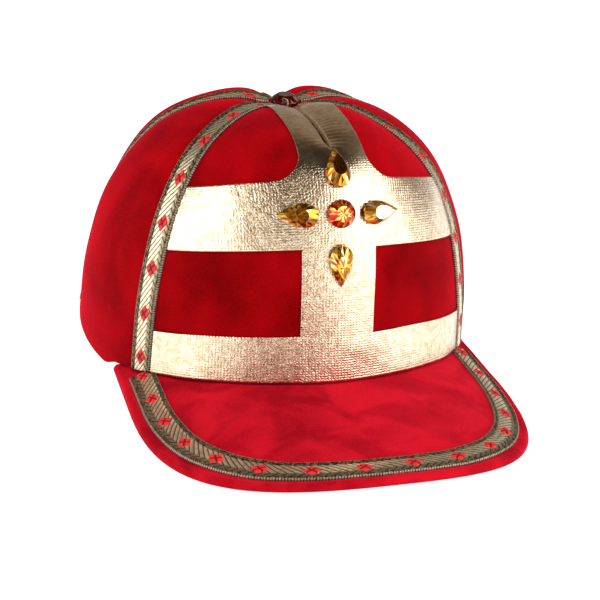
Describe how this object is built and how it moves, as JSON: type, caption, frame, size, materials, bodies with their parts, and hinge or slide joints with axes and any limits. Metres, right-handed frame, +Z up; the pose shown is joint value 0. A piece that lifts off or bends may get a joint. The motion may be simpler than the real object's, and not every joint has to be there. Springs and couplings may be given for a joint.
{
  "type": "velvet visor cap dressed as a bishop's mitre",
  "caption": "Soft velvet cap with an arched visor, dressed as a bishop's mitre with a gold foil cross, gold braid over its seams and glued cut stones; open below for the head.",
  "frame": {"origin": "on the surface that the cap rests on, under the middle of its bounding box", "axes": "+Z up, -Y towards the visor, +X towards the wearer's left; the mirror plane is X = 0"},
  "size_m": [0.1784, 0.2732, 0.1139],
  "materials": {
    "crown_velvet": "deep red pile velvet",
    "visor_velvet": "crimson crushed velvet",
    "gold_foil": "crinkled champagne gold foil laminated on woven cloth",
    "gold_braid": "woven metallic braid with red stitched diamonds",
    "amber_stone": "foil-backed faceted amber stone",
    "red_stone": "foil-backed faceted red stone",
    "garnet_stone": "foil-backed faceted dark red stone"
  },
  "bodies": {
    "root": {"front_panel": "crown_velvet", "side_panel_right": "crown_velvet", "back_panel_right": "crown_velvet", "back_panel_left": "crown_velvet", "side_panel_left": "crown_velvet", "braid_front_right": "gold_braid", "braid_front_left": "gold_braid", "braid_rear_right": "gold_braid", "braid_rear_left": "gold_braid", "braid_back": "gold_braid", "gold_cross": "gold_foil", "visor": "visor_velvet", "visor_braid": "gold_braid", "stone_center": "red_stone", "stone_top": "amber_stone", "stone_bottom": "amber_stone", "stone_right": "amber_stone", "stone_left": "amber_stone", "crown_stone": "garnet_stone"}
  },
  "joints": []
}
